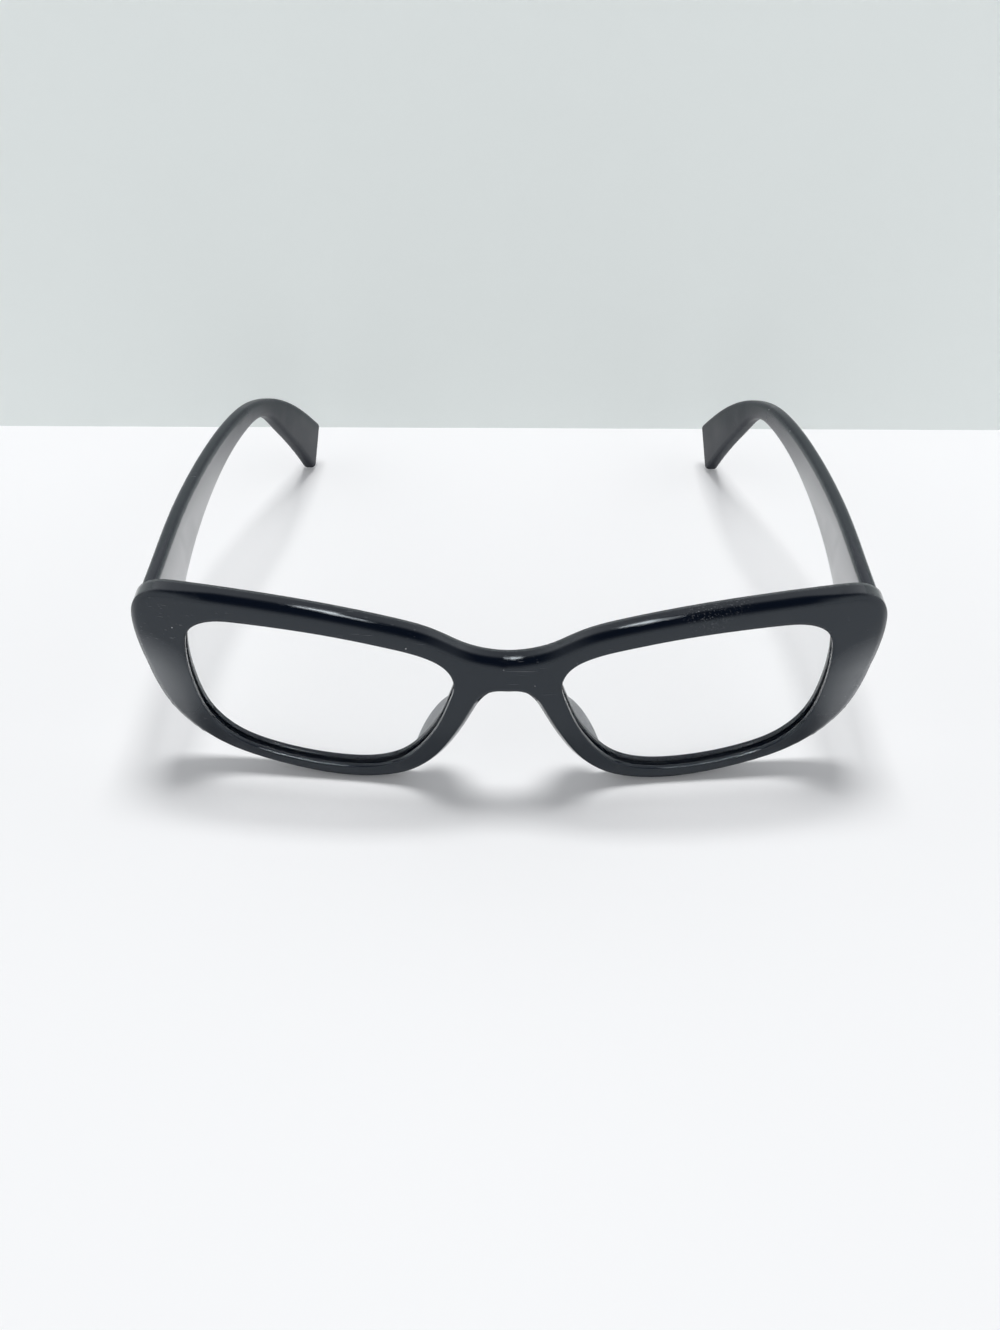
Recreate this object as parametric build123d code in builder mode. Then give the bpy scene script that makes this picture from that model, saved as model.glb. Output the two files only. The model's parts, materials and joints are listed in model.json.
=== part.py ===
from build123d import *
import os
from math import asin, cos, hypot, radians, sin, sqrt

# Full-rim rectangular eyeglasses, standing open on the two lower rims and the two temple tips.
# Millimetres. +X is the wearer's left, the front faces -Y, the temples run back to +Y and +Z is up.
# The origin is on the table, under the middle of the whole part.

# The front, measured on its own leaning face
front_width = 138.6
front_height = 39.8
front_thickness = 4.2
front_curve_radius = 280.0
front_lean = 3.0
bevel_on_face = 1.0
bevel_in_depth = 2.3
lip_edge_radius = 0.25

# The two lens openings, their groove and the lenses
bridge_width = 20.0
end_width = 9.7
upper_rim = 4.9
lower_rim = 2.9
lens_width = (front_width - bridge_width) / 2 - end_width
lens_height = front_height - upper_rim - lower_rim
front_lip = 1.0
lens_thickness = 1.8
lens_seat_depth = 0.7
lens_bevel = 0.6
lens_clearance = 0.1

# The nose pads, built up on the back of the nasal rims
pad_length = 16.0
pad_width = 3.2
pad_reach = 4.8
pad_end_reach = 1.5
pad_flare = 0.30
pad_drop = 0.10
pad_beside_nose = 1.9
pad_below_middle = 7.2
pad_tilt = 35.0
pad_edge_radius = 0.9

# The temples
temple_reach = 126.5
temple_root = 11.2
temple_below_top = 2.8
temple_set_in = 1.0
temple_inset = 13.6
temple_thickness = 3.0
tip_thickness = 3.4
temple_edge_radius = 1.1
tip_corner_radius = 1.2
joint_gap = 0.15

# The wire core inside each temple
core_width = 1.8
core_thickness = 0.9
core_behind_leaf = 1.8
core_end = 120.0
core_clearance = 0.05
core_steps = 12

# The barrel hinges
knuckle_radius = 1.3
knuckle_pitch = 1.5
knuckle_gap = 0.12
knuckles = 5
hinge_below_top = 10.8
barrel_stand_off = 0.5
leaf_thickness = 1.0
leaf_web = 1.2
leaf_corner_radius = 1.0
leaf_clearance = 0.05
front_leaf_width = 4.8
front_leaf_height = 12.8
temple_leaf_behind = 8.2
screw_radius = 0.7
screw_clearance = 0.05
screw_head_radius = 1.15
screw_head_height = 0.6
screw_slot_width = 0.3
screw_slot_depth = 0.3
rivet_radius = 0.5
rivet_clearance = 0.02
rivet_head_radius = 0.85
rivet_head_height = 0.3
rivet_head_rounding = 0.2
rivet_depth = 1.4
front_rivet_spread = 5.2
first_rivet_behind = 3.2
second_rivet_behind = 6.8

# One overrun for every cut
overrun = 30.0

# Outlines, as shares of the sizes that they follow
contour_shares = (
    (0.000, 0.739), (0.060, 0.750), (0.118, 0.782), (0.167, 0.827), (0.210, 0.862), (0.270, 0.894),
    (0.360, 0.928), (0.480, 0.962), (0.620, 0.987), (0.760, 0.999), (0.870, 1.000), (0.940, 0.982),
    (0.982, 0.925), (1.000, 0.800), (0.993, 0.640), (0.968, 0.440), (0.912, 0.252), (0.830, 0.140),
    (0.730, 0.074), (0.600, 0.023), (0.450, -0.005), (0.345, 0.009), (0.268, 0.050), (0.200, 0.136),
    (0.140, 0.278), (0.096, 0.424), (0.070, 0.505), (0.040, 0.548), (0.000, 0.556),
)
opening_shares = (
    (0.000, 0.690), (0.030, 0.778), (0.112, 0.857), (0.230, 0.908), (0.400, 0.957), (0.600, 0.990),
    (0.780, 1.000), (0.895, 0.982), (0.972, 0.908), (1.000, 0.745), (0.988, 0.500), (0.938, 0.270),
    (0.845, 0.130), (0.710, 0.052), (0.560, 0.012), (0.420, 0.000), (0.300, 0.018), (0.205, 0.078),
    (0.122, 0.205), (0.055, 0.375), (0.014, 0.540),
)
temple_plan_shares = (
    (-0.040, 0.000), (0.000, 0.000), (0.080, -0.006), (0.220, -0.026), (0.330, 0.000), (0.410, 0.050),
    (0.500, 0.142), (0.575, 0.255), (0.645, 0.385), (0.710, 0.510), (0.790, 0.655), (0.865, 0.785),
    (0.940, 0.905), (1.000, 1.000), (1.040, 1.064),
)
temple_top_shares = (
    (-0.030, 0.990), (0.100, 1.000), (0.300, 1.002), (0.480, 1.002), (0.580, 0.998), (0.645, 0.976),
    (0.710, 0.916), (0.773, 0.824), (0.840, 0.694), (0.920, 0.504), (1.006, 0.268),
)
temple_low_shares = (
    (0.955, -0.0125), (0.900, 0.195), (0.839, 0.405), (0.773, 0.622), (0.728, 0.758), (0.678, 0.834),
    (0.620, 0.852), (0.540, 0.836), (0.433, 0.790), (0.323, 0.730), (0.150, 0.610), (-0.030, 0.488),
)

# The part stands with the middle of its depth over the origin
lean_sin = sin(radians(front_lean))
lean_cos = cos(radians(front_lean))
foremost = contour_shares[0][1] * front_height * lean_sin
rearmost = temple_root + temple_top_shares[-1][0] * temple_reach
front_y = -(rearmost - foremost) / 2
face_plane = Plane(origin=(0, front_y, 0), x_dir=(1, 0, 0), z_dir=(0, -lean_cos, -lean_sin))
arch_plane = Plane(origin=(0, front_y, 0), x_dir=(1, 0, 0), z_dir=(0, -lean_sin, lean_cos))
plan_plane = Plane(origin=(0, front_y, 0), x_dir=(1, 0, 0), z_dir=(0, 0, 1))
side_plane = Plane(origin=(0, front_y, 0), x_dir=(0, 1, 0), z_dir=(1, 0, 0))
half_width = front_width / 2
lens_middle_x = (bridge_width + lens_width) / 2
lens_middle_z = lower_rim + lens_height / 2
pad_middle_x = bridge_width / 2 + pad_beside_nose
pad_middle_z = lens_middle_z - pad_below_middle
temple_top = front_height - temple_below_top
temple_spread = half_width - temple_set_in

# The hinge axis stands beside the temple's inner face and behind the end piece, clear of both
temple_inner_x = temple_spread - temple_thickness
hinge_middle_z = front_height - hinge_below_top
hinge_reach = knuckle_radius + barrel_stand_off
hinge_x = temple_inner_x - hinge_reach
rear_radius = front_curve_radius - front_thickness
hinge_turn = asin(hinge_x / (rear_radius - hinge_reach))
hinge_back = front_curve_radius - (rear_radius - hinge_reach) * cos(hinge_turn)
hinge_up = (hinge_middle_z - hinge_back * lean_sin) / lean_cos
hinge_y = front_y + hinge_back * lean_cos - hinge_up * lean_sin
barrel_height = knuckles * knuckle_pitch
barrel_base_z = hinge_middle_z - barrel_height / 2
core_start = hinge_y - front_y + temple_leaf_behind + core_behind_leaf

# The two leaves lie flat in these planes, which face the barrel
front_leaf_plane = Plane(
    origin=arch_plane.from_local_coords(
        (rear_radius * sin(hinge_turn), front_curve_radius - rear_radius * cos(hinge_turn), hinge_up)
    ),
    x_dir=(-cos(hinge_turn), -sin(hinge_turn) * lean_cos, -sin(hinge_turn) * lean_sin),
    z_dir=(-sin(hinge_turn), cos(hinge_turn) * lean_cos, cos(hinge_turn) * lean_sin),
)
temple_leaf_plane = Plane(
    origin=(temple_inner_x, hinge_y, hinge_middle_z), x_dir=(0, 1, 0), z_dir=(-1, 0, 0)
)


def moved_within(plane, along, up):
    """The same plane with its origin moved within it."""
    return plane.shift_origin(plane.from_local_coords((along, up, 0)))


def behind_face(depth, x):
    """How far behind the face's middle a surface at this depth lies, x away from the middle."""
    return front_curve_radius - sqrt((front_curve_radius - depth) ** 2 - x ** 2)


def opening_points(margin):
    """The lens outline on the wearer's left, grown by a margin all round."""
    return [
        (
            lens_middle_x + (x_share * 2 - 1) * (lens_width / 2 + margin),
            lens_middle_z + (z_share * 2 - 1) * (lens_height / 2 + margin),
        )
        for x_share, z_share in opening_shares
    ]


def curved_layer(near, far):
    """A sheet that follows the face's curve between two depths, for the whole front."""
    width = half_width + front_thickness
    with BuildPart(mode=Mode.PRIVATE) as layer:
        with BuildSketch(arch_plane):
            with BuildLine():
                near_arc = ThreePointArc(
                    (-width, behind_face(near, width)), (0, near), (width, behind_face(near, width))
                )
                far_arc = ThreePointArc(
                    (-width, behind_face(far, width)), (0, far), (width, behind_face(far, width))
                )
                Line(near_arc @ 0, far_arc @ 0)
                Line(near_arc @ 1, far_arc @ 1)
            make_face()
        extrude(amount=front_height + overrun, both=True)
    return layer.part


def lens_blank(margin, near, far):
    """A lens shape on the wearer's left: the opening's outline, curved like the front."""
    with BuildPart(mode=Mode.PRIVATE) as blank:
        with BuildSketch(face_plane):
            with BuildLine():
                Spline(opening_points(margin), periodic=True)
            make_face()
        extrude(amount=overrun, both=True)
        add(curved_layer(near, far), mode=Mode.INTERSECT)
    return blank.part


def front_leaf_plate(clearance):
    """The plate of the front leaf, or with a clearance the pocket that it lies in."""
    with BuildPart(mode=Mode.PRIVATE) as plate:
        with BuildSketch(front_leaf_plane.offset(clearance)):
            RectangleRounded(
                front_leaf_width + 2 * clearance,
                front_leaf_height + 2 * clearance,
                leaf_corner_radius + clearance,
            )
        extrude(amount=-leaf_thickness - 2 * clearance)
    return plate.part


def temple_leaf_plate(ahead, clearance):
    """The plate of the temple leaf, or with a clearance the pocket that it lies in."""
    middle = (temple_leaf_behind - ahead) / 2
    with BuildPart(mode=Mode.PRIVATE) as plate:
        with BuildSketch(temple_leaf_plane.offset(clearance)):
            with Locations((middle, 0)):
                RectangleRounded(
                    temple_leaf_behind + ahead + 2 * clearance,
                    barrel_height + 2 * clearance,
                    leaf_corner_radius + clearance,
                )
        extrude(amount=-leaf_thickness - 2 * clearance)
    return plate.part


def knuckle_row(first, web_direction):
    """Every second knuckle of the barrel with its web, in one level after another from the first."""
    web_reach = hinge_reach + leaf_thickness / 2
    with BuildPart(mode=Mode.PRIVATE) as row:
        for level in range(first, knuckles, 2):
            base_z = barrel_base_z + level * knuckle_pitch + knuckle_gap / 2
            with BuildSketch(Plane(origin=(hinge_x, hinge_y, base_z), x_dir=web_direction)):
                Circle(knuckle_radius)
                Rectangle(web_reach, leaf_web, align=(Align.MIN, Align.CENTER))
            extrude(amount=knuckle_pitch - knuckle_gap)
    return row.part


def barrel_bore():
    """The bore that the hinge screw passes through, in both leaves."""
    with BuildPart(mode=Mode.PRIVATE) as bore:
        with BuildSketch(Plane(origin=(hinge_x, hinge_y, barrel_base_z))):
            Circle(screw_radius + screw_clearance)
        extrude(amount=barrel_height)
    return bore.part


def rivet_shank(plane, clearance):
    """A blind rivet's shank below a leaf's face, or with a clearance the hole for it."""
    with BuildPart(mode=Mode.PRIVATE) as shank:
        with BuildSketch(plane):
            Circle(rivet_radius + clearance)
        extrude(amount=-leaf_thickness - rivet_depth - clearance)
    return shank.part


def strip_points(points, width):
    """A closed outline of one width along a line of points."""
    near_side = []
    far_side = []
    for place, (along, across) in enumerate(points):
        before = points[max(place - 1, 0)]
        after = points[min(place + 1, len(points) - 1)]
        run = hypot(after[0] - before[0], after[1] - before[1])
        step = (width / 2 * (before[1] - after[1]) / run, width / 2 * (after[0] - before[0]) / run)
        near_side.append((along + step[0], across + step[1]))
        far_side.append((along - step[0], across - step[1]))
    return near_side, far_side


def share_at(shares, place):
    """The value of a table of shares at a place, in a straight line between its neighbours."""
    table = sorted(shares)
    for (low, low_value), (high, high_value) in zip(table, table[1:]):
        if low <= place <= high:
            return low_value + (high_value - low_value) * (place - low) / (high - low)
    raise ValueError(place)


def core_wire_shape(clearance):
    """The flat wire along the middle of the temple, or with a clearance its channel."""
    start = (core_start - clearance - temple_root) / temple_reach
    end = (core_end + clearance - temple_root) / temple_reach
    places = [start + (end - start) * step / core_steps for step in range(core_steps + 1)]
    side_points = []
    plan_points = []
    for place in places:
        along = temple_root + place * temple_reach
        middle_share = (share_at(temple_top_shares, place) + share_at(temple_low_shares, place)) / 2
        side_points.append((along, middle_share * temple_top))
        plan_points.append((temple_outer_x(place) - thickness_at(place) / 2, along))
    with BuildPart(mode=Mode.PRIVATE) as core:
        for plane, points, width in (
            (side_plane, side_points, core_width + 2 * clearance),
            (plan_plane, plan_points, core_thickness + 2 * clearance),
        ):
            one_side, other_side = strip_points(points, width)
            with BuildSketch(plane, mode=Mode.PRIVATE) as outline:
                with BuildLine():
                    one = Spline(one_side)
                    other = Spline(other_side)
                    Line(one @ 0, other @ 0)
                    Line(one @ 1, other @ 1)
                make_face()
            extrude(
                outline.sketch,
                amount=temple_spread + overrun,
                both=True,
                mode=Mode.ADD if plane is side_plane else Mode.INTERSECT,
            )
    return core.part


def temple_outer_x(place):
    """The temple's outer face, as a distance from the middle, at a share of its reach."""
    return temple_spread - share_at(temple_plan_shares, place) * temple_inset


def thickness_at(place):
    """The temple's thickness at a share of its reach."""
    return temple_thickness + (tip_thickness - temple_thickness) * place


def save(piece, name):
    """Label a finished piece and write it to its own file."""
    piece.part.label = name
    export_step(piece.part, "parts/" + name + ".step")


os.makedirs("parts", exist_ok=True)

front_web_direction = (sin(hinge_turn), -cos(hinge_turn), 0)
front_rivet_planes = {
    "upper": moved_within(front_leaf_plane, 0, front_rivet_spread),
    "lower": moved_within(front_leaf_plane, 0, -front_rivet_spread),
}
temple_rivet_planes = {
    "first": moved_within(temple_leaf_plane, first_rivet_behind, 0),
    "second": moved_within(temple_leaf_plane, second_rivet_behind, 0),
}

# Front frame: one plate, cut to the outline, wrapped to the face's curve and bevelled in front
contour_points = [(x * half_width, z * front_height) for x, z in contour_shares]
contour_ring = contour_points + [(-x, z) for x, z in contour_points[-2:0:-1]]
groove = lens_blank(
    lens_seat_depth + lens_clearance, front_lip, front_lip + lens_thickness + 2 * lens_clearance
)
with BuildPart() as front_frame:
    with BuildSketch(face_plane):
        with BuildLine():
            Spline(contour_ring, periodic=True)
        make_face()
        for side in (1, -1):
            with BuildLine():
                Spline([(side * x, z) for x, z in opening_points(0)], periodic=True)
            make_face(mode=Mode.SUBTRACT)
    extrude(amount=overrun, both=True)
    add(curved_layer(0, front_thickness), mode=Mode.INTERSECT)
    add(groove, mode=Mode.SUBTRACT)
    mirror(groove, about=Plane.YZ, mode=Mode.SUBTRACT)
    front_face = front_frame.faces().filter_by(GeomType.CYLINDER).sort_by(SortBy.AREA)[-2:].sort_by(Axis.Y)[0]
    chamfer(
        front_face.outer_wire().edges(), length=bevel_on_face, length2=bevel_in_depth, reference=front_face
    )
    lips = []
    for face in front_frame.faces().filter_by(GeomType.CYLINDER).sort_by(SortBy.AREA)[-2:]:
        for wire in face.inner_wires():
            lips.extend(wire.edges())
    fillet(lips, radius=lip_edge_radius)
    pocket = front_leaf_plate(leaf_clearance)
    add(pocket, mode=Mode.SUBTRACT)
    mirror(pocket, about=Plane.YZ, mode=Mode.SUBTRACT)
    for plane in front_rivet_planes.values():
        hole = rivet_shank(plane, rivet_clearance)
        add(hole, mode=Mode.SUBTRACT)
        mirror(hole, about=Plane.YZ, mode=Mode.SUBTRACT)
save(front_frame, "front_frame")
left_pieces = {}

# Lens: a thin curved sheet with a bevelled edge, seated in the groove
with BuildPart() as lens_left:
    add(lens_blank(lens_seat_depth, front_lip + lens_clearance, front_lip + lens_clearance + lens_thickness))
    chamfer(lens_left.edges().sort_by(SortBy.LENGTH)[-2:], length=lens_bevel)
left_pieces["lens"] = lens_left

# Nose pad: a flared crescent on the back of the nasal rim, rounded where it meets the nose
pad_base_plane = face_plane.offset(-front_thickness)
pad_side_plane = Plane(
    origin=pad_base_plane.from_local_coords((pad_middle_x, pad_middle_z, 0)),
    x_dir=(-sin(radians(pad_tilt)), -cos(radians(pad_tilt)) * lean_sin, cos(radians(pad_tilt)) * lean_cos),
    z_dir=(-cos(radians(pad_tilt)), sin(radians(pad_tilt)) * lean_sin, -sin(radians(pad_tilt)) * lean_cos),
)
with BuildPart() as nose_pad_left:
    with BuildSketch(pad_base_plane):
        with Locations((pad_middle_x, pad_middle_z)):
            SlotOverall(pad_length, pad_width, rotation=90 + pad_tilt)
    extrude(amount=pad_reach + front_thickness, dir=(pad_flare, 1, -pad_drop))
    with BuildSketch(pad_side_plane):
        with BuildLine():
            crest = ThreePointArc(
                (-pad_length / 2, pad_end_reach), (0, pad_reach), (pad_length / 2, pad_end_reach)
            )
            Polyline(crest @ 0, (-pad_length / 2, -pad_reach), (pad_length / 2, -pad_reach), crest @ 1)
        make_face()
    extrude(amount=overrun, both=True, mode=Mode.INTERSECT)
    add(curved_layer(front_thickness, front_thickness + 2 * pad_reach), mode=Mode.INTERSECT)
    fillet(nose_pad_left.faces().sort_by(Axis.Y)[-1].edges(), radius=pad_edge_radius)
left_pieces["nose_pad"] = nose_pad_left

# Hinge leaf on the end piece: a plate let in flush, with every other knuckle of the barrel
with BuildPart() as hinge_front_leaf_left:
    add(front_leaf_plate(0))
    add(knuckle_row(0, front_web_direction))
    add(barrel_bore(), mode=Mode.SUBTRACT)
    for plane in front_rivet_planes.values():
        add(rivet_shank(plane, rivet_clearance), mode=Mode.SUBTRACT)
left_pieces["hinge_front_leaf"] = hinge_front_leaf_left

# Hinge leaf on the temple: a plate let in flush, with the knuckles between
with BuildPart() as hinge_temple_leaf_left:
    add(temple_leaf_plate(leaf_web / 2, 0))
    add(knuckle_row(1, (1, 0, 0)))
    add(barrel_bore(), mode=Mode.SUBTRACT)
    for plane in temple_rivet_planes.values():
        add(rivet_shank(plane, rivet_clearance), mode=Mode.SUBTRACT)
left_pieces["hinge_temple_leaf"] = hinge_temple_leaf_left

# Hinge screw: the pin of the hinge, its slotted head on the top knuckle
screw_head_z = barrel_base_z + barrel_height - knuckle_gap / 2
with BuildPart() as hinge_screw_left:
    with BuildSketch(Plane(origin=(hinge_x, hinge_y, barrel_base_z))):
        Circle(screw_radius)
    extrude(amount=barrel_height)
    with BuildSketch(Plane(origin=(hinge_x, hinge_y, screw_head_z))):
        Circle(screw_head_radius)
    extrude(amount=screw_head_height)
    fillet(hinge_screw_left.edges().group_by(Axis.Z)[-1], radius=screw_slot_depth / 2)
    with BuildSketch(Plane(origin=(hinge_x, hinge_y, screw_head_z + screw_head_height))):
        Rectangle(2 * screw_head_radius, screw_slot_width)
    extrude(amount=-screw_slot_depth, mode=Mode.SUBTRACT)
left_pieces["hinge_screw"] = hinge_screw_left

# Rivets: two through each leaf, blind in the plastic, with low domed heads
for leaf, planes in (("front", front_rivet_planes), ("temple", temple_rivet_planes)):
    for place, plane in planes.items():
        with BuildPart() as rivet:
            add(rivet_shank(plane, 0))
            with BuildSketch(plane):
                Circle(rivet_head_radius)
            extrude(amount=rivet_head_height)
            fillet(rivet.edges().sort_by(Axis(plane.origin, plane.z_dir))[-1], radius=rivet_head_rounding)
        left_pieces["hinge_" + leaf + "_rivet_" + place] = rivet

# Wire core: a flat wire that follows the temple's middle
with BuildPart() as temple_core_wire_left:
    add(core_wire_shape(0))
left_pieces["temple_core_wire"] = temple_core_wire_left

# Temple: the side outline and the plan outline together, rounded along its edges
outer_points = []
inner_points = []
for place, inset_share in temple_plan_shares:
    along = temple_root + place * temple_reach
    outer_points.append((temple_spread - inset_share * temple_inset, along))
    inner_points.append((outer_points[-1][0] - thickness_at(place), along))
with BuildPart() as temple_left:
    with BuildSketch(side_plane):
        with BuildLine():
            top = Spline([(temple_root + y * temple_reach, z * temple_top) for y, z in temple_top_shares])
            low = Spline([(temple_root + y * temple_reach, z * temple_top) for y, z in temple_low_shares])
            Line(top @ 1, low @ 0)
            Line(low @ 1, top @ 0)
        make_face()
        fillet(vertices().sort_by(Axis.Y)[-2:], radius=tip_corner_radius)
    extrude(amount=temple_spread + overrun)
    with BuildSketch(plan_plane):
        with BuildLine():
            outer = Spline(outer_points)
            inner = Spline(inner_points)
            Line(outer @ 0, inner @ 0)
            Line(outer @ 1, inner @ 1)
        make_face()
    extrude(amount=temple_top + overrun, both=True, mode=Mode.INTERSECT)
    rounded = temple_left.edges().filter_by(lambda edge: edge.center().Y > front_y + temple_root)
    fillet(rounded, radius=temple_edge_radius)
    add(curved_layer(-overrun, front_thickness + joint_gap), mode=Mode.SUBTRACT)
    add(temple_leaf_plate(overrun, leaf_clearance), mode=Mode.SUBTRACT)
    for plane in temple_rivet_planes.values():
        add(rivet_shank(plane, rivet_clearance), mode=Mode.SUBTRACT)
    add(core_wire_shape(core_clearance), mode=Mode.SUBTRACT)
left_pieces["temple"] = temple_left

# Both sides: the wearer's left as made, the right mirrored about the middle plane
for name, left_piece in left_pieces.items():
    save(left_piece, name + "_left")
    with BuildPart() as right_piece:
        mirror(left_piece.part, about=Plane.YZ)
    save(right_piece, name + "_right")
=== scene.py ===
import json
from math import cos, hypot, pi, radians, sin

import bpy
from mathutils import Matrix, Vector
from mathutils.kdtree import KDTree

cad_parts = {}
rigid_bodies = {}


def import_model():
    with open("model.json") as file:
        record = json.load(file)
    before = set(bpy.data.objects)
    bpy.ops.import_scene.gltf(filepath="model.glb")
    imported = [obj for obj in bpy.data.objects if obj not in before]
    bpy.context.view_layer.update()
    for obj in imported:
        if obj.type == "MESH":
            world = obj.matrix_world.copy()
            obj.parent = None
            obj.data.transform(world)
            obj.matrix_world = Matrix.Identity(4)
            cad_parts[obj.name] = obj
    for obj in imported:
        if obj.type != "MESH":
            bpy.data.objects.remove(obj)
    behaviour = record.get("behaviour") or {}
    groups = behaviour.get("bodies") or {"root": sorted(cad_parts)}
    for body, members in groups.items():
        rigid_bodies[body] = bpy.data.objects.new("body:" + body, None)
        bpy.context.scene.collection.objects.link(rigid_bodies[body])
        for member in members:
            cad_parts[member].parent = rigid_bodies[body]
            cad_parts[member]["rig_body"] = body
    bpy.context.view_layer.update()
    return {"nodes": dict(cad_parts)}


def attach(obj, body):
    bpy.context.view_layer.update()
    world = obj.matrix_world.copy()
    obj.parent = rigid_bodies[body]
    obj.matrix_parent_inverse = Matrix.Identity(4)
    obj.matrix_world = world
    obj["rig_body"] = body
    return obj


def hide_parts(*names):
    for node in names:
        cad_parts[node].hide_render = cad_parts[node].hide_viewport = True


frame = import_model()
nodes = frame["nodes"]


# Viewpoint: the front is seen from a quarter of a metre away, from 35 degrees above.
# The portrait picture is 1000 by 1330 pixels, and the lens was 1400 of those pixels long.
picture_height_px = 1330
lens_length_px = 1400
sensor_mm = 36.0
nearest_seen = 0.01
camera_place = (0.000554, -0.275590, 0.173770)
camera_down = radians(35.12)
camera_turn = radians(0.5545)

camera_data = bpy.data.cameras.new("viewpoint")
camera_data.sensor_width = sensor_mm
camera_data.lens = lens_length_px / picture_height_px * sensor_mm
camera_data.clip_start = nearest_seen
camera = bpy.data.objects.new("viewpoint", camera_data)
camera.location = camera_place
camera.rotation_euler = (pi / 2 - camera_down, 0.0, camera_turn)
bpy.context.scene.collection.objects.link(camera)
bpy.context.scene.camera = camera
bpy.context.scene.view_settings.view_transform = "Standard"


# Frame plastic: the front, the pads and both temples are cut from thick near-black sheet,
# tumbled to a gloss. Handling has left smudges, hair scratches and a few pale specks.
plastic_ior = 1.52
reflection_tint = (0.85, 0.94, 1.0, 1.0)
# A pale grey that real wear marks and haze lean towards, and that the painted sheen leans towards too.
wear_and_sheen_grey = (0.34, 0.35, 0.36, 1.0)
all_to_none = (1.0, 0.0)

# Each set of scratches has a turn, a closeness across and along them, and a rarity.
scratch_sets = (
    ((0.3, 0.2, 0.5), 2600.0, 90.0, 0.745),
    ((0.1, 0.9, 2.1), 3100.0, 120.0, 0.750),
    ((1.2, 0.4, 1.3), 2200.0, 70.0, 0.750),
)
scratch_fade = 0.03
scratch_paleness = 0.22
scratched_areas_per_m = 70.0
scratched_span = (0.50, 0.66)

specks_per_m = 420.0
speck_rim = (0.045, 0.075)
dusty_areas_per_m = 140.0
dusty_span = (0.56, 0.62)

rub_marks_per_m = 2400.0
rub_span = (0.56, 0.68)
rub_paleness = 0.35
full_mark_share = 0.3

smudges_per_m = 38.0
smudge_span = (0.35, 0.70)
smudge_roughness = 0.10
mark_roughness = 0.30

haze_grains_per_m = 900.0
haze_span = (0.32, 0.66)
haze_share = (0.25, 1.0)
haze_roughness = 0.40
# How far the painted sheen greys the colour paler and hazier: it stands for reflected light.
painted_sheen_share = 0.36

ripples_per_m = 160.0
ripple_height_share = 0.25
haze_height_share = 2.0
relief_strength = 0.25
relief_height = 0.00003
edge_samples = 8


def new_material(name):
    """An empty material with its node tree, its Principled shader and its output."""
    material = bpy.data.materials.new(name)
    material.use_nodes = True
    tree = material.node_tree
    return material, tree, tree.nodes["Principled BSDF"], tree.nodes["Material Output"]


def connect(tree, node, **inputs):
    """Joins a node's inputs to other nodes, or sets them to plain values."""
    for label, value in inputs.items():
        socket = node.inputs[label.replace("_", " ")]
        if isinstance(value, bpy.types.NodeSocket):
            tree.links.new(value, socket)
        else:
            socket.default_value = value
    return node


def shader_node(tree, kind, **inputs):
    """A new node of one kind, with its inputs joined or set."""
    return connect(tree, tree.nodes.new(kind), **inputs)


def noise(tree, place, scale, **inputs):
    """A cloudy pattern of so many patches a metre."""
    return shader_node(tree, "ShaderNodeTexNoise", Vector=place, Scale=scale, **inputs).outputs[0]


def object_place(tree):
    """Where a point of the surface lies on the piece itself."""
    return tree.nodes.new("ShaderNodeTexCoord").outputs["Object"]


def painted_value(tree, attribute):
    """A value that is painted on the piece's own mesh."""
    node = tree.nodes.new("ShaderNodeAttribute")
    node.attribute_name = attribute
    return node.outputs["Fac"]


def arithmetic(tree, operation, first, second):
    """One arithmetic step between two sockets or numbers."""
    node = tree.nodes.new("ShaderNodeMath")
    node.operation = operation
    for socket, value in zip(node.inputs, (first, second)):
        if isinstance(value, bpy.types.NodeSocket):
            tree.links.new(value, socket)
        else:
            socket.default_value = value
    return node.outputs[0]


def remapped(tree, value, span, result=(0.0, 1.0)):
    """A value that crosses a span, turned into one that crosses another and is held inside it."""
    node = shader_node(
        tree, "ShaderNodeMapRange", Value=value,
        From_Min=span[0], From_Max=span[1], To_Min=result[0], To_Max=result[1],
    )
    return node.outputs[0]


def mixed_colour(tree, share, colour_at_none, colour_at_all):
    """A colour that runs from one to another with a share."""
    node = shader_node(tree, "ShaderNodeMix", Factor=share)
    node.data_type = "RGBA"
    first, second = [socket for socket in node.inputs if socket.type == "RGBA"]
    first.default_value = colour_at_none
    second.default_value = colour_at_all
    return [socket for socket in node.outputs if socket.type == "RGBA"][0]


def hair_scratches(tree, place, turn, across, along, rarity):
    """Fine parallel scratches in one direction, broken up along their length."""
    turned = shader_node(
        tree, "ShaderNodeMapping", Vector=place, Rotation=turn, Scale=(along, across, across)
    )
    grain = noise(tree, turned.outputs[0], 1.0, Detail=1.0)
    return remapped(tree, grain, (rarity, rarity + scratch_fade))


def nearness(tree, place, spheres):
    """How close a place lies to the middle of the nearest of some spheres, from none to all."""
    nearest = 0.0
    for centre, radius in spheres:
        away = shader_node(tree, "ShaderNodeVectorMath", Vector=place)
        away.operation = "DISTANCE"
        away.inputs[1].default_value = centre
        near = remapped(tree, away.outputs["Value"], (radius * full_mark_share, radius), all_to_none)
        nearest = arithmetic(tree, "MAXIMUM", nearest, near)
    return nearest


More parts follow.
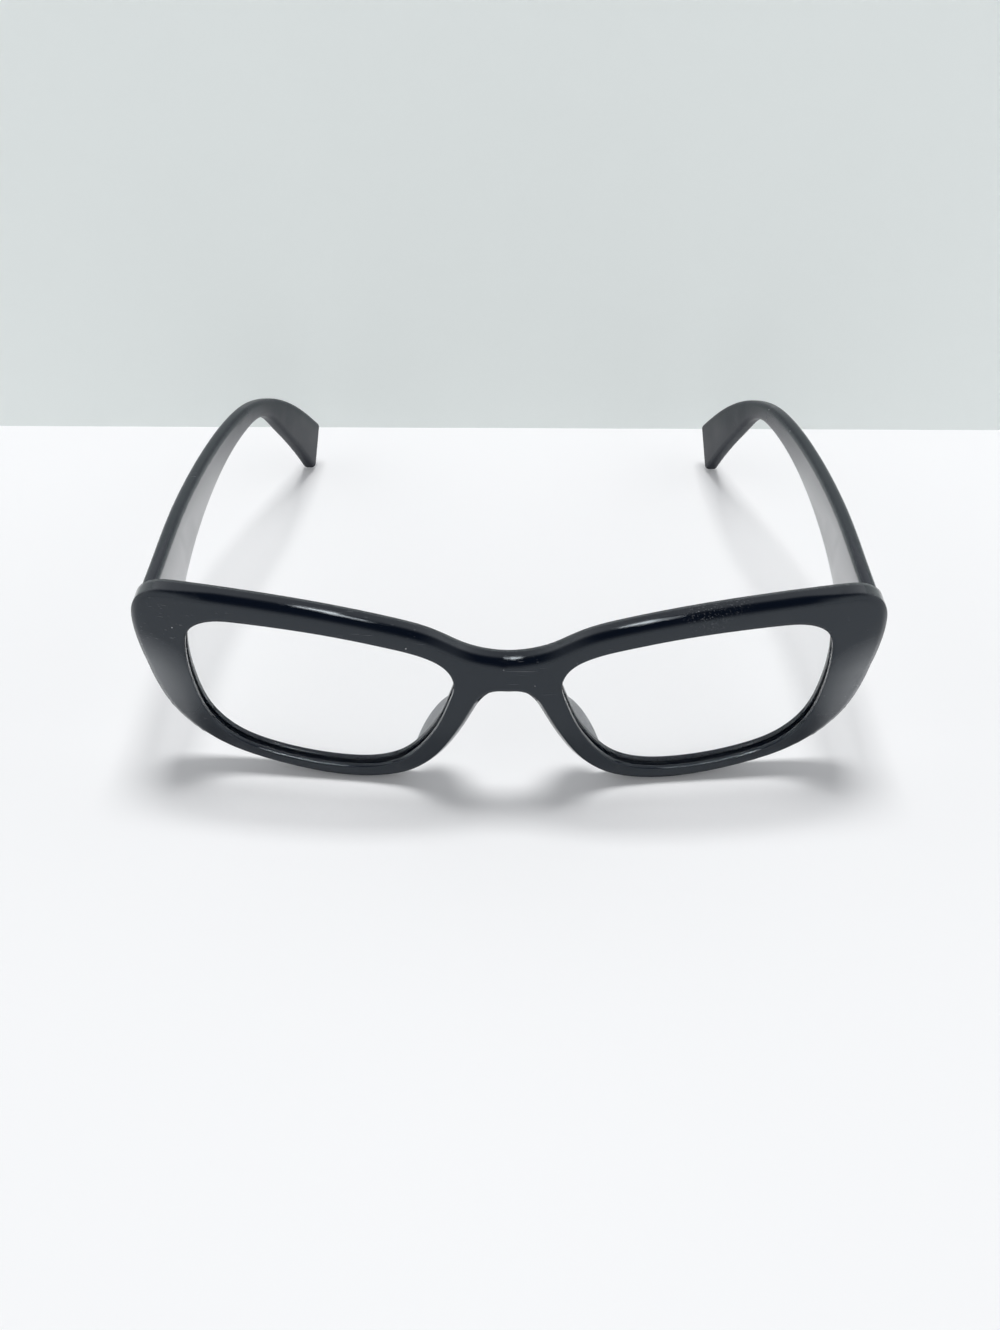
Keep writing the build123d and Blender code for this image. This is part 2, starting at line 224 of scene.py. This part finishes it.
def frame_plastic(name, colour, gloss_roughness, edge_radius, haze=0.0, scuffs=(), sheen_spots=()):
    """Near-black glossy plastic. Haze greys it all, scuffs lie in spheres of their own, and in other
    spheres a paler, hazier colour is painted on as a sheen that stands for reflected light.
    The radius of its wear-rounded edges is a length, or the name of the attribute that holds it."""
    material, tree, shader, _ = new_material(name)
    place = object_place(tree)

    scratches = 0.0
    for turn, across, along, rarity in scratch_sets:
        more = hair_scratches(tree, place, turn, across, along, rarity)
        scratches = arithmetic(tree, "MAXIMUM", scratches, more)
    scratched_areas = noise(tree, place, scratched_areas_per_m, Detail=3.0)
    scratches = arithmetic(tree, "MULTIPLY", scratches, remapped(tree, scratched_areas, scratched_span))

    dust = shader_node(tree, "ShaderNodeTexVoronoi", Vector=place, Scale=specks_per_m, Randomness=1.0)
    specks = remapped(tree, dust.outputs["Distance"], speck_rim, all_to_none)
    dusty_areas = noise(tree, place, dusty_areas_per_m, Detail=2.0)
    specks = arithmetic(tree, "MULTIPLY", specks, remapped(tree, dusty_areas, dusty_span))
    if scuffs:
        rubbed = noise(tree, place, rub_marks_per_m, Detail=4.0, Roughness=0.7)
        rubbed = remapped(tree, rubbed, rub_span, (0.0, rub_paleness))
        rubbed = arithmetic(tree, "MULTIPLY", rubbed, nearness(tree, place, scuffs))
        specks = arithmetic(tree, "MAXIMUM", specks, rubbed)
    marks = arithmetic(tree, "MULTIPLY", scratches, scratch_paleness)
    marks = arithmetic(tree, "MAXIMUM", marks, specks)

    haze_grain = noise(tree, place, haze_grains_per_m, Detail=5.0, Roughness=0.75)
    haze_and_sheen = remapped(tree, haze_grain, haze_span, haze_share)
    haze_and_sheen = arithmetic(tree, "MULTIPLY", haze_and_sheen, haze)
    # Painted sheen: within its spheres the colour is greyed paler and the surface made hazier, standing
    # for reflected light.
    if sheen_spots:
        painted_sheen = arithmetic(tree, "MULTIPLY", nearness(tree, place, sheen_spots), painted_sheen_share)
        haze_and_sheen = arithmetic(tree, "MAXIMUM", haze_and_sheen, painted_sheen)
    # The colour is paled by real wear marks and haze, and by the painted sheen.
    wear_and_sheen = arithmetic(tree, "MAXIMUM", marks, haze_and_sheen)

    smudges = noise(tree, place, smudges_per_m, Detail=5.0, Roughness=0.6)
    rough = remapped(tree, smudges, smudge_span, (gloss_roughness, gloss_roughness + smudge_roughness))
    rough = arithmetic(tree, "ADD", rough, arithmetic(tree, "MULTIPLY", marks, mark_roughness))
    rough = arithmetic(tree, "ADD", rough, arithmetic(tree, "MULTIPLY", haze_and_sheen, haze_roughness))

    if isinstance(edge_radius, str):
        edge_radius = painted_value(tree, edge_radius)
    edges = shader_node(tree, "ShaderNodeBevel", Radius=edge_radius)
    edges.samples = edge_samples
    ripples = noise(tree, place, ripples_per_m, Detail=2.0)
    height = arithmetic(tree, "MULTIPLY", ripples, ripple_height_share)
    height = arithmetic(tree, "SUBTRACT", height, scratches)
    haze_height = arithmetic(tree, "MULTIPLY", haze_and_sheen, haze_height_share)
    relief = shader_node(
        tree, "ShaderNodeBump", Height=arithmetic(tree, "SUBTRACT", height, haze_height),
        Normal=edges.outputs[0], Strength=relief_strength, Distance=relief_height,
    )

    connect(
        tree, shader, Base_Color=mixed_colour(tree, wear_and_sheen, (*colour, 1.0), wear_and_sheen_grey),
        Roughness=rough, Normal=relief.outputs[0], IOR=plastic_ior, Specular_Tint=reflection_tint,
    )
    return material


# Front: one dark plate with both rims, the bridge and the end pieces, bevelled along its outer edge.
# The plate is curved round the face, and both end pieces are rolled back further by hand polishing.
# The bevel is steep along the brow and runs out at the end pieces. The brow is scuffed in one place.
front_black = (0.0018, 0.0036, 0.0085)
front_gloss = 0.06
brow_scuffs = (((0.0350, -0.0650, 0.0385), 0.006), ((0.0405, -0.0640, 0.0395), 0.004))
# Painted sheen: the lower outer corners of both end pieces get a paler, hazier colour that stands for
# the bright table reflected there.
end_painted_sheen = [((way * 0.0690, -0.0615, 0.0185), 0.0125) for way in (1.0, -1.0)]

front_curve = 0.280
front_thick = 0.0042
front_lean = radians(3.0)
front_foot_y = -0.068460
front_smooth_deg = 15.0
lens_middle = (0.0348, 0.0189)
lens_half = (0.0248, 0.0160)
lens_squareness = 3

bevel_on_face = 0.0010
bevel_in_depth = 0.0023
bevel_raise = 0.35
bevel_raise_at_end = 0.78
bevel_runs_out = (0.053, 0.061)
bevel_slack = 0.00006

end_reach = 0.0180
roll_width = 0.0072
roll_radius = 0.0200
roll_begins_x = (0.046, 0.062)
roll_begins_z = (0.040, 0.022)
cut_pitch = 0.0010
outline_slack = 0.0003
outside_limits = (1.05, 1.15)

lip_edge_radius = 0.00028
outer_edge_radius = 0.00120


def joined_copy(name, material, smooth_deg):
    """A copy of a solid with its loose triangles joined, shaded smooth and ready for hand work."""
    joined_within = 0.000001
    piece = bpy.data.objects.new(name + "_finished", nodes[name].data.copy())
    bpy.context.scene.collection.objects.link(piece)
    bpy.ops.object.select_all(action="DESELECT")
    piece.select_set(True)
    bpy.context.view_layer.objects.active = piece
    bpy.ops.mesh.customdata_custom_splitnormals_clear()
    bpy.ops.object.mode_set(mode="EDIT")
    bpy.ops.mesh.select_all(action="SELECT")
    bpy.ops.mesh.remove_doubles(threshold=joined_within)
    bpy.ops.object.mode_set(mode="OBJECT")
    bpy.ops.object.shade_smooth_by_angle(angle=radians(smooth_deg))
    piece.data.materials.clear()
    piece.data.materials.append(material)
    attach(piece, nodes[name]["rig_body"])
    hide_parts(name)
    return piece


def held_share(value, low, high):
    """How far a value lies from low to high, from none to all."""
    return min(max((value - low) / (high - low), 0.0), 1.0)


def outside_rim(place):
    """How far out from the middle of the nearer lens a place lies: under one is the opening."""
    across = abs(abs(place.x) - lens_middle[0]) / lens_half[0]
    up = abs(place.z - lens_middle[1]) / lens_half[1]
    return across ** lens_squareness + up ** lens_squareness


def depth_in_front(place):
    """How deep in the curved plate a place lies, from none on the face to all of its thickness."""
    back = (place - front_foot).dot(backwards)
    return front_curve - hypot(place.x, front_curve - back)


front_foot = Vector((0.0, front_foot_y, 0.0))
backwards = Vector((0.0, cos(front_lean), sin(front_lean)))
front_plastic = frame_plastic(
    "front_plastic", front_black, front_gloss, "soft_edge", scuffs=brow_scuffs, sheen_spots=end_painted_sheen
)
front = joined_copy("front_frame", front_plastic, front_smooth_deg)
front_top = max(vertex.co.z for vertex in front.data.vertices)
end_start = max(vertex.co.x for vertex in front.data.vertices) - end_reach

bpy.ops.object.mode_set(mode="EDIT")
for way in (1.0, -1.0):
    across = end_start + end_reach - cut_pitch / 2
    while across > end_start:
        bpy.ops.mesh.select_all(action="SELECT")
        bpy.ops.mesh.bisect(plane_co=(way * across, 0.0, 0.0), plane_no=(1.0, 0.0, 0.0))
        across -= cut_pitch
up = cut_pitch
while up < front_top:
    bpy.ops.object.mode_set(mode="OBJECT")
    for face in front.data.polygons:
        face.select = abs(face.center.x) > end_start
    bpy.ops.object.mode_set(mode="EDIT")
    bpy.ops.mesh.bisect(plane_co=(0.0, 0.0, up), plane_no=(0.0, 0.0, 1.0))
    up += cut_pitch
bpy.ops.mesh.select_all(action="SELECT")
bpy.ops.mesh.quads_convert_to_tris()
bpy.ops.object.mode_set(mode="OBJECT")

# The plate's outer edge is found at the back of both ends, where the bevel doesn't reach.
side_wall = [
    vertex.co.copy() for vertex in front.data.vertices
    if depth_in_front(vertex.co) > front_thick / 2 and outside_rim(vertex.co) > outside_limits[1]
    and abs(vertex.co.x) > lens_middle[0]
]
widest = {}
lowest = {}
highest = {}
for place in side_wall:
    level = round(place.z / cut_pitch)
    column = round(place.x / cut_pitch)
    widest[level] = max(widest.get(level, 0.0), abs(place.x))
    lowest[column] = min(lowest.get(column, front_top), place.z)
    highest[column] = max(highest.get(column, 0.0), place.z)
outline = KDTree(len(side_wall))
for number, place in enumerate(side_wall):
    level = round(place.z / cut_pitch)
    column = round(place.x / cut_pitch)
    at_side = abs(place.x) > widest[level] - outline_slack
    at_foot = place.z < lowest[column] + outline_slack
    at_brow = place.z > highest[column] - outline_slack
    if at_side or at_foot or at_brow:
        outline.insert((place.x, 0.0, place.z), number)
outline.balance()

# The bevel's back line is drawn towards the face, and then both ends are rolled back.
for vertex in front.data.vertices:
    from_edge = outline.find((vertex.co.x, 0.0, vertex.co.z))[2]
    depth = depth_in_front(vertex.co)
    if abs(vertex.co.x) > end_start:
        on_bevel = from_edge < bevel_on_face + bevel_slack and depth < bevel_in_depth + bevel_slack
    else:
        on_bevel = abs(depth - bevel_in_depth) < bevel_slack
    if on_bevel:
        run_out = held_share(abs(vertex.co.x), *bevel_runs_out)
        raised = depth * (bevel_raise + (bevel_raise_at_end - bevel_raise) * run_out)
        vertex.co -= backwards * raised
        depth -= raised
    at_end = held_share(abs(vertex.co.x), *roll_begins_x) * held_share(vertex.co.z, *roll_begins_z)
    width = roll_width * at_end
    if from_edge < width:
        share = 1.0 - held_share(depth, 0.0, front_thick)
        vertex.co += backwards * (share * (width - from_edge) ** 2 / (2 * roll_radius))
bpy.ops.object.shade_smooth_by_angle(angle=radians(front_smooth_deg))

soft_edge = front.data.attributes.new("soft_edge", "FLOAT", "POINT")
for number, vertex in enumerate(front.data.vertices):
    beyond_rim = held_share(outside_rim(vertex.co), *outside_limits)
    soft_edge.data[number].value = lip_edge_radius + (outer_edge_radius - lip_edge_radius) * beyond_rim


# Nose pads: a fin of the same plastic is built on to the back of each nasal rim.
# Skin and wear have dulled both pads to a hazy grey.
pad_grey = (0.185, 0.193, 0.200)
pad_gloss = 0.30
pad_haze = 0.95
pad_edge_radius = 0.0004
pad_smooth_deg = 40.0

pad_plastic = frame_plastic("pad_plastic", pad_grey, pad_gloss, pad_edge_radius, haze=pad_haze)
for side in ("left", "right"):
    joined_copy("nose_pad_" + side, pad_plastic, pad_smooth_deg)


# Temples: bars of the same dark sheet round a flat wire core, bent down behind the ears.
# Their inner faces keep a high polish at the front, and hair and skin have dulled the tips.
temple_black = (0.0035, 0.0056, 0.0115)
temple_gloss = 0.05
temple_edge_radius = 0.0003
temple_smooth_deg = 30.0
dull_from_y = (0.005, 0.040)
dull_roughness = 0.35
shine_from_y = (0.000, 0.036)
shine_levels = (0.45, 0.26)
polish_from_y = (-0.005, 0.032)
polish_roughness = 0.08
facing_inwards = (0.5, 0.9)

temple_plastic = frame_plastic("temple_plastic", temple_black, temple_gloss, temple_edge_radius)
temple_tree = temple_plastic.node_tree
temple_shader = temple_tree.nodes["Principled BSDF"]
along = shader_node(temple_tree, "ShaderNodeSeparateXYZ", Vector=object_place(temple_tree)).outputs["Y"]
gloss = temple_shader.inputs["Roughness"].links[0].from_socket
dulled = arithmetic(temple_tree, "MULTIPLY", remapped(temple_tree, along, dull_from_y), dull_roughness)
kept_polish = remapped(temple_tree, along, polish_from_y, all_to_none)
polish = arithmetic(temple_tree, "MULTIPLY", painted_value(temple_tree, "inner_polish"), kept_polish)
connect(
    temple_tree, temple_shader, Roughness=arithmetic(temple_tree, "ADD", gloss, dulled),
    Specular_IOR_Level=remapped(temple_tree, along, shine_from_y, shine_levels),
    Coat_Weight=polish, Coat_Roughness=polish_roughness,
)
for side, inward in (("left", -1.0), ("right", 1.0)):
    temple = joined_copy("temple_" + side, temple_plastic, temple_smooth_deg)
    inner_polish = temple.data.attributes.new("inner_polish", "FLOAT", "FACE")
    for number, face in enumerate(temple.data.polygons):
        inner_polish.data[number].value = held_share(face.normal.x * inward, *facing_inwards)


# Lenses: thin clear curved sheets, bevelled all round and snapped into the rims from the front.
# They are plain and coated against glare, so they barely show. Light passes straight through them.
lens_clearness = (0.996, 0.998, 0.998, 1.0)
lens_ior = 1.22
lens_smears_per_m = 60.0
lens_smear_span = (0.45, 0.75)
lens_smear_roughness = (0.0, 0.035)
lens_smooth_deg = 30.0

lens_material, lens_tree, lens_shader, lens_output = new_material("lens_clear")
lens_smear = noise(lens_tree, object_place(lens_tree), lens_smears_per_m, Detail=4.0)
connect(
    lens_tree, lens_shader, Base_Color=lens_clearness, Transmission_Weight=1.0, IOR=lens_ior,
    Roughness=remapped(lens_tree, lens_smear, lens_smear_span, lens_smear_roughness),
)


def partly_clear(tree, clear_share, shader):
    """A shader that gives way to plain clearness by a share."""
    clear = tree.nodes.new("ShaderNodeBsdfTransparent")
    mix = tree.nodes.new("ShaderNodeMixShader")
    tree.links.new(clear_share, mix.inputs[0])
    tree.links.new(shader.outputs[0], mix.inputs[1])
    tree.links.new(clear.outputs[0], mix.inputs[2])
    return mix.outputs[0]


ray = lens_tree.nodes.new("ShaderNodeLightPath")
passed = arithmetic(lens_tree, "MAXIMUM", ray.outputs["Is Shadow Ray"], ray.outputs["Is Diffuse Ray"])
connect(lens_tree, lens_output, Surface=partly_clear(lens_tree, passed, lens_shader))
for side in ("left", "right"):
    joined_copy("lens_" + side, lens_material, lens_smooth_deg)


# Hinges: pressed steel leaves with five knuckles between them, let into the plastic and riveted.
# The screw down each barrel is turned steel with a slotted head. Both carry fine machining lines.
leaf_colour = (0.56, 0.55, 0.53)
leaf_roughness = 0.30
leaf_lines_per_m = (900.0, 900.0, 9000.0)
screw_colour = (0.64, 0.62, 0.58)
screw_roughness = 0.22
screw_lines_per_m = (6000.0, 6000.0, 6000.0)
wire_colour = (0.58, 0.57, 0.55)
wire_roughness = 0.28
wire_lines_per_m = (6000.0, 300.0, 6000.0)
steel_stains_per_m = 800.0
stain_span = (0.50, 0.75)
stain_shares = (0.45, 0.40, 0.34)
line_span = (0.30, 0.70)
line_roughness = (-0.08, 0.12)
line_strength = 0.3
line_height = 0.00002
leaf_smooth_deg = 30.0
turned_smooth_deg = 40.0


def worn_steel(name, colour, roughness, lines_per_m):
    """Bare steel with fine machining lines and darker stains."""
    material, tree, shader, _ = new_material(name)
    place = object_place(tree)
    stretched = shader_node(tree, "ShaderNodeMapping", Vector=place, Scale=lines_per_m)
    lines = noise(tree, stretched.outputs[0], 1.0, Detail=3.0)
    stains = remapped(tree, noise(tree, place, steel_stains_per_m, Detail=4.0), stain_span)
    stained = [bare * share for bare, share in zip(colour, stain_shares)]
    relief = shader_node(
        tree, "ShaderNodeBump", Height=lines, Strength=line_strength, Distance=line_height
    )
    connect(
        tree, shader, Base_Color=mixed_colour(tree, stains, (*colour, 1.0), (*stained, 1.0)),
        Roughness=remapped(tree, lines, line_span, [roughness + more for more in line_roughness]),
        Normal=relief.outputs[0], Metallic=1.0,
    )
    return material


leaf_steel = worn_steel("leaf_steel", leaf_colour, leaf_roughness, leaf_lines_per_m)
screw_steel = worn_steel("screw_steel", screw_colour, screw_roughness, screw_lines_per_m)
wire_steel = worn_steel("wire_steel", wire_colour, wire_roughness, wire_lines_per_m)
for side in ("left", "right"):
    for leaf in ("front", "temple"):
        joined_copy("hinge_" + leaf + "_leaf_" + side, leaf_steel, leaf_smooth_deg)
    for rivet in ("front_rivet_upper", "front_rivet_lower", "temple_rivet_first", "temple_rivet_second"):
        joined_copy("hinge_" + rivet + "_" + side, screw_steel, turned_smooth_deg)
    joined_copy("hinge_screw_" + side, screw_steel, turned_smooth_deg)
    for wire_slot in nodes["temple_core_wire_" + side].material_slots:
        wire_slot.material = wire_steel


# Stand: a plain white table top with a low, plain, pale backdrop close behind the tips.
# The backdrop is finished on its front alone, so that it is clear when it is seen from behind.
stand_width = 3.2
backdrop_y = 0.0885
backdrop_height = 0.116
table_white = (0.920, 0.925, 0.932, 1.0)
table_shine = 0.2
table_grains_per_m = 900.0
table_grain_span = (0.30, 0.70)
table_roughness = (0.50, 0.60)
backdrop_pale = (0.84, 0.885, 0.87, 1.0)
backdrop_roughness = 0.8
backdrop_shine = 0.1


def stand_sheet(name, length, material, **placed):
    """A plain rectangular sheet of the stand, as wide as the table."""
    bpy.ops.object.select_all(action="DESELECT")
    bpy.ops.mesh.primitive_plane_add(size=1.0, **placed)
    sheet = bpy.context.object
    sheet.name = name
    sheet.scale = (stand_width, length, 1.0)
    bpy.ops.object.transform_apply(location=True, rotation=True, scale=True)
    sheet.data.materials.append(material)
    return sheet


table_material, table_tree, table_shader, _ = new_material("table_white")
table_grain = noise(table_tree, object_place(table_tree), table_grains_per_m, Detail=3.0)
connect(
    table_tree, table_shader, Base_Color=table_white, Specular_IOR_Level=table_shine,
    Roughness=remapped(table_tree, table_grain, table_grain_span, table_roughness),
)
stand_sheet("table_top", stand_width, table_material)

backdrop_material, backdrop_tree, backdrop_shader, backdrop_output = new_material("backdrop_pale")
connect(
    backdrop_tree, backdrop_shader, Base_Color=backdrop_pale,
    Roughness=backdrop_roughness, Specular_IOR_Level=backdrop_shine,
)
from_behind = backdrop_tree.nodes.new("ShaderNodeNewGeometry").outputs["Backfacing"]
one_sided = partly_clear(backdrop_tree, from_behind, backdrop_shader)
connect(backdrop_tree, backdrop_output, Surface=one_sided)
backdrop_middle = (0.0, backdrop_y, backdrop_height / 2)
backdrop = stand_sheet(
    "backdrop", backdrop_height, backdrop_material, location=backdrop_middle, rotation=(pi / 2, 0.0, 0.0)
)
backdrop.visible_shadow = False
backdrop.visible_diffuse = False


# Light: an even white surround that darkens overhead, and one wide soft lamp high behind.
# A narrow lamp above the temples shows in the polish alone, as the thin bright lines on the bevel.
surround_white = (0.975, 0.985, 1.0, 1.0)
overhead_dark = (0.040, 0.043, 0.050, 1.0)
overhead_span = (0.45, 0.88)
wide_lamp_place = (0.063, 0.94, 3.50)
wide_lamp_size = (1.56, 1.19)
wide_lamp_power = 81.0
narrow_lamp_place = (-0.017, 0.047, 0.282)
narrow_lamp_size = (0.040, 0.10)
narrow_lamp_power = 0.26

world = bpy.data.worlds.new("studio")
bpy.context.scene.world = world
world.use_nodes = True
sky = world.node_tree
direction = sky.nodes.new("ShaderNodeTexCoord").outputs["Generated"]
upwards = shader_node(sky, "ShaderNodeSeparateXYZ", Vector=direction).outputs["Z"]
whiteness = remapped(sky, upwards, overhead_span, all_to_none)
sky_colour = mixed_colour(sky, whiteness, overhead_dark, surround_white)
connect(sky, sky.nodes["Background"], Color=sky_colour, Strength=1.0)


def soft_lamp(name, place, size, power):
    """A rectangular soft lamp that hangs at a place and faces the part."""
    lamp_data = bpy.data.lights.new(name, "AREA")
    lamp_data.shape = "RECTANGLE"
    lamp_data.size = size[0]
    lamp_data.size_y = size[1]
    lamp_data.energy = power
    lamp = bpy.data.objects.new(name, lamp_data)
    lamp.location = place
    lamp.rotation_euler = (-Vector(place)).to_track_quat("-Z", "Y").to_euler()
    bpy.context.scene.collection.objects.link(lamp)
    return lamp


wide_lamp = soft_lamp("lamp_wide", wide_lamp_place, wide_lamp_size, wide_lamp_power)
wide_lamp.visible_glossy = False
narrow_lamp = soft_lamp("lamp_narrow", narrow_lamp_place, narrow_lamp_size, narrow_lamp_power)
narrow_lamp.visible_diffuse = False
